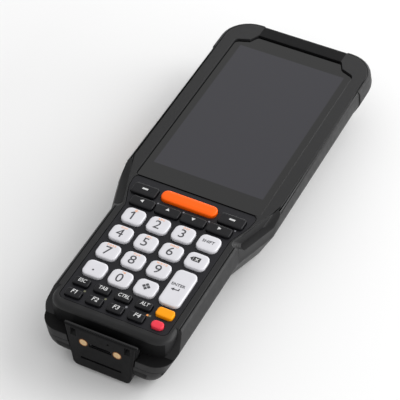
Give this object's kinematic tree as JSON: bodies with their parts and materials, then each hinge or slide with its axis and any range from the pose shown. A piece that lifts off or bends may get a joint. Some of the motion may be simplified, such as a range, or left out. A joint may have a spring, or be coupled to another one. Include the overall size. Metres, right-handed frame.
{
  "type": "portable barcode data terminal",
  "caption": "Rugged handheld data terminal with a touch screen head, a narrower keypad grip, a bar code reader window, dock contacts and a removable battery pack.",
  "frame": {"origin": "under the middle of the terminal, on the plane of its rear face", "axes": "+X to the right of the screen, +Y towards the screen end, +Z out of the screen"},
  "size_m": [0.0746, 0.2004, 0.0287],
  "materials": {
    "case_black": "fine matte texture, charcoal black",
    "rubber_black": "soft matte rubber",
    "plate_black": "smooth satin",
    "touch_glass": "glossy, dark behind",
    "display_grey": "display, switched off",
    "key_white": "smooth satin",
    "key_black": "smooth satin",
    "key_orange": "smooth gloss",
    "key_amber": "smooth gloss",
    "key_red": "smooth gloss",
    "latch_amber": "satin",
    "board_green": "solder mask",
    "steel": "plain sheet",
    "gold": "gold plated",
    "scan_red": "dark red filter window",
    "lens_black": "clear over black",
    "inner_black": "moulded"
  },
  "bodies": {
    "terminal": {"rear_housing": "case_black", "front_housing": "case_black", "corner_bumpers": "rubber_black", "keypad_plate": "plate_black", "touch_glass": "touch_glass", "display_module": "display_grey", "keypad_mat": "rubber_black", "keypad_board": "board_green", "dome_switches": "steel", "main_board": "board_green", "board_shields": "steel", "scan_engine": "inner_black", "scan_window": "scan_red", "housing_seal": "rubber_black", "housing_screws": "steel", "dock_contacts": "gold", "dock_connector": "inner_black", "speaker": "steel", "camera_module": "steel", "camera_window": "lens_black", "antenna": "gold", "battery_contacts": "inner_black", "vibration_motor": "steel"},
    "battery_pack": {"battery_pack": "case_black"},
    "battery_latch": {"battery_latch": "latch_amber"},
    "side_trigger": {"side_trigger": "latch_amber"},
    "volume_rocker": {"volume_rocker": "key_black"},
    "key_soft_left": {"key_soft_left": "key_black"},
    "key_scan": {"key_scan": "key_orange"},
    "key_soft_right": {"key_soft_right": "key_black"},
    "key_left": {"key_left": "key_black"},
    "key_up": {"key_up": "key_black"},
    "key_down": {"key_down": "key_black"},
    "key_right": {"key_right": "key_black"},
    "key_1": {"key_1": "key_white"},
    "key_2": {"key_2": "key_white"},
    "key_3": {"key_3": "key_white"},
    "key_shift": {"key_shift": "key_white"},
    "key_4": {"key_4": "key_white"},
    "key_5": {"key_5": "key_white"},
    "key_6": {"key_6": "key_white"},
    "key_backspace": {"key_backspace": "key_white"},
    "key_7": {"key_7": "key_white"},
    "key_8": {"key_8": "key_white"},
    "key_9": {"key_9": "key_white"},
    "key_point": {"key_point": "key_white"},
    "key_0": {"key_0": "key_white"},
    "key_symbol": {"key_symbol": "key_white"},
    "key_enter": {"key_enter": "key_white"},
    "key_esc": {"key_esc": "key_black"},
    "key_tab": {"key_tab": "key_black"},
    "key_ctrl": {"key_ctrl": "key_black"},
    "key_alt": {"key_alt": "key_black"},
    "key_f1": {"key_f1": "key_black"},
    "key_f2": {"key_f2": "key_black"},
    "key_f3": {"key_f3": "key_black"},
    "key_f4": {"key_f4": "key_black"},
    "key_fn": {"key_fn": "key_amber"},
    "key_power": {"key_power": "key_red"}
  },
  "joints": [
    {"name": "battery_pack_slide", "type": "slide", "parent": "terminal", "child": "battery_pack", "axis": [0, 0, -1], "range_m": [0, 0.03]},
    {"name": "battery_latch_slide", "type": "slide", "parent": "terminal", "child": "battery_latch", "axis": [0, -1, 0], "range_m": [0, 0.002], "stiffness_N_per_m": 500, "springref_m": -0.001},
    {"name": "side_trigger_press", "type": "slide", "parent": "terminal", "child": "side_trigger", "axis": [1, 0, 0], "range_m": [0, 0.0005], "stiffness_N_per_m": 3000, "springref_m": -0.0002},
    {"name": "volume_rocker_tilt", "type": "hinge", "parent": "terminal", "child": "volume_rocker", "pos_m": [-0.0337, 0.04945, 0.0187], "axis": [0, 0, 1], "range_deg": [-2, 2], "stiffness_Nm_per_rad": 0.4},
    {"name": "key_soft_left_press", "type": "slide", "parent": "terminal", "child": "key_soft_left", "axis": [0, 0, -1], "range_m": [0, 0.0005], "stiffness_N_per_m": 3000, "springref_m": -0.0002},
    {"name": "key_scan_press", "type": "slide", "parent": "terminal", "child": "key_scan", "axis": [0, 0, -1], "range_m": [0, 0.0005], "stiffness_N_per_m": 3000, "springref_m": -0.0002},
    {"name": "key_soft_right_press", "type": "slide", "parent": "terminal", "child": "key_soft_right", "axis": [0, 0, -1], "range_m": [0, 0.0005], "stiffness_N_per_m": 3000, "springref_m": -0.0002},
    {"name": "key_left_press", "type": "slide", "parent": "terminal", "child": "key_left", "axis": [0, 0, -1], "range_m": [0, 0.0005], "stiffness_N_per_m": 3000, "springref_m": -0.0002},
    {"name": "key_up_press", "type": "slide", "parent": "terminal", "child": "key_up", "axis": [0, 0, -1], "range_m": [0, 0.0005], "stiffness_N_per_m": 3000, "springref_m": -0.0002},
    {"name": "key_down_press", "type": "slide", "parent": "terminal", "child": "key_down", "axis": [0, 0, -1], "range_m": [0, 0.0005], "stiffness_N_per_m": 3000, "springref_m": -0.0002},
    {"name": "key_right_press", "type": "slide", "parent": "terminal", "child": "key_right", "axis": [0, 0, -1], "range_m": [0, 0.0005], "stiffness_N_per_m": 3000, "springref_m": -0.0002},
    {"name": "key_1_press", "type": "slide", "parent": "terminal", "child": "key_1", "axis": [0, 0, -1], "range_m": [0, 0.0005], "stiffness_N_per_m": 3000, "springref_m": -0.0002},
    {"name": "key_2_press", "type": "slide", "parent": "terminal", "child": "key_2", "axis": [0, 0, -1], "range_m": [0, 0.0005], "stiffness_N_per_m": 3000, "springref_m": -0.0002},
    {"name": "key_3_press", "type": "slide", "parent": "terminal", "child": "key_3", "axis": [0, 0, -1], "range_m": [0, 0.0005], "stiffness_N_per_m": 3000, "springref_m": -0.0002},
    {"name": "key_shift_press", "type": "slide", "parent": "terminal", "child": "key_shift", "axis": [0, 0, -1], "range_m": [0, 0.0005], "stiffness_N_per_m": 3000, "springref_m": -0.0002},
    {"name": "key_4_press", "type": "slide", "parent": "terminal", "child": "key_4", "axis": [0, 0, -1], "range_m": [0, 0.0005], "stiffness_N_per_m": 3000, "springref_m": -0.0002},
    {"name": "key_5_press", "type": "slide", "parent": "terminal", "child": "key_5", "axis": [0, 0, -1], "range_m": [0, 0.0005], "stiffness_N_per_m": 3000, "springref_m": -0.0002},
    {"name": "key_6_press", "type": "slide", "parent": "terminal", "child": "key_6", "axis": [0, 0, -1], "range_m": [0, 0.0005], "stiffness_N_per_m": 3000, "springref_m": -0.0002},
    {"name": "key_backspace_press", "type": "slide", "parent": "terminal", "child": "key_backspace", "axis": [0, 0, -1], "range_m": [0, 0.0005], "stiffness_N_per_m": 3000, "springref_m": -0.0002},
    {"name": "key_7_press", "type": "slide", "parent": "terminal", "child": "key_7", "axis": [0, 0, -1], "range_m": [0, 0.0005], "stiffness_N_per_m": 3000, "springref_m": -0.0002},
    {"name": "key_8_press", "type": "slide", "parent": "terminal", "child": "key_8", "axis": [0, 0, -1], "range_m": [0, 0.0005], "stiffness_N_per_m": 3000, "springref_m": -0.0002},
    {"name": "key_9_press", "type": "slide", "parent": "terminal", "child": "key_9", "axis": [0, 0, -1], "range_m": [0, 0.0005], "stiffness_N_per_m": 3000, "springref_m": -0.0002},
    {"name": "key_point_press", "type": "slide", "parent": "terminal", "child": "key_point", "axis": [0, 0, -1], "range_m": [0, 0.0005], "stiffness_N_per_m": 3000, "springref_m": -0.0002},
    {"name": "key_0_press", "type": "slide", "parent": "terminal", "child": "key_0", "axis": [0, 0, -1], "range_m": [0, 0.0005], "stiffness_N_per_m": 3000, "springref_m": -0.0002},
    {"name": "key_symbol_press", "type": "slide", "parent": "terminal", "child": "key_symbol", "axis": [0, 0, -1], "range_m": [0, 0.0005], "stiffness_N_per_m": 3000, "springref_m": -0.0002},
    {"name": "key_enter_press", "type": "slide", "parent": "terminal", "child": "key_enter", "axis": [0, 0, -1], "range_m": [0, 0.0005], "stiffness_N_per_m": 3000, "springref_m": -0.0002},
    {"name": "key_esc_press", "type": "slide", "parent": "terminal", "child": "key_esc", "axis": [0, 0, -1], "range_m": [0, 0.0005], "stiffness_N_per_m": 3000, "springref_m": -0.0002},
    {"name": "key_tab_press", "type": "slide", "parent": "terminal", "child": "key_tab", "axis": [0, 0, -1], "range_m": [0, 0.0005], "stiffness_N_per_m": 3000, "springref_m": -0.0002},
    {"name": "key_ctrl_press", "type": "slide", "parent": "terminal", "child": "key_ctrl", "axis": [0, 0, -1], "range_m": [0, 0.0005], "stiffness_N_per_m": 3000, "springref_m": -0.0002},
    {"name": "key_alt_press", "type": "slide", "parent": "terminal", "child": "key_alt", "axis": [0, 0, -1], "range_m": [0, 0.0005], "stiffness_N_per_m": 3000, "springref_m": -0.0002},
    {"name": "key_f1_press", "type": "slide", "parent": "terminal", "child": "key_f1", "axis": [0, 0, -1], "range_m": [0, 0.0005], "stiffness_N_per_m": 3000, "springref_m": -0.0002},
    {"name": "key_f2_press", "type": "slide", "parent": "terminal", "child": "key_f2", "axis": [0, 0, -1], "range_m": [0, 0.0005], "stiffness_N_per_m": 3000, "springref_m": -0.0002},
    {"name": "key_f3_press", "type": "slide", "parent": "terminal", "child": "key_f3", "axis": [0, 0, -1], "range_m": [0, 0.0005], "stiffness_N_per_m": 3000, "springref_m": -0.0002},
    {"name": "key_f4_press", "type": "slide", "parent": "terminal", "child": "key_f4", "axis": [0, 0, -1], "range_m": [0, 0.0005], "stiffness_N_per_m": 3000, "springref_m": -0.0002},
    {"name": "key_fn_press", "type": "slide", "parent": "terminal", "child": "key_fn", "axis": [0, 0, -1], "range_m": [0, 0.0005], "stiffness_N_per_m": 3000, "springref_m": -0.0002},
    {"name": "key_power_press", "type": "slide", "parent": "terminal", "child": "key_power", "axis": [0, 0, -1], "range_m": [0, 0.0005], "stiffness_N_per_m": 3000, "springref_m": -0.0002}
  ]
}
